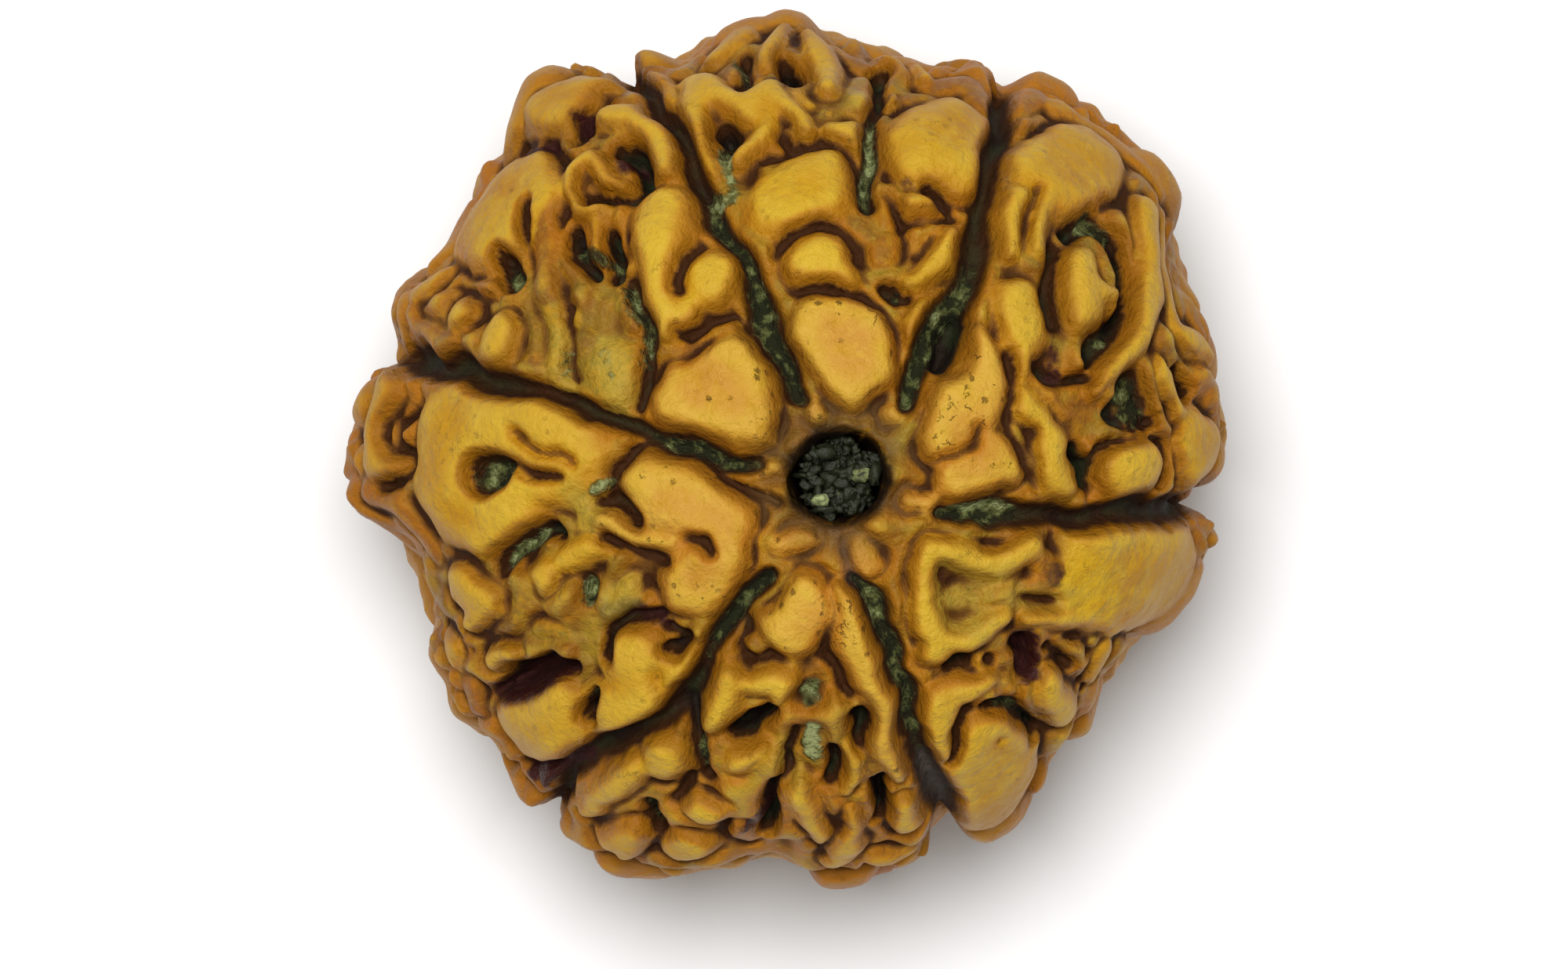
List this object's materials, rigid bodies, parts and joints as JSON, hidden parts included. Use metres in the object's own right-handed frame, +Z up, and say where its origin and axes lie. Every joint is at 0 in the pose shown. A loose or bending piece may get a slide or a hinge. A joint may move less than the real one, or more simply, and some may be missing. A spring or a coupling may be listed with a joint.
{
  "type": "six mukhi rudraksha",
  "caption": "Knobbly woody fruit stone with meridian seams and a natural bore along its axis, used as a bead; rests on its worn lower pole.",
  "frame": {"origin": "middle of the bounding box's underside, which is the plane the stone rests on", "axes": "+Z up along the natural bore, +Y towards the top of the picture, +X to its right"},
  "size_m": [0.0236, 0.0236, 0.0204],
  "materials": {
    "stone": "satin, dry pulp left in the creases"
  },
  "bodies": {
    "root": {"rudraksha_stone": "stone"}
  },
  "joints": []
}
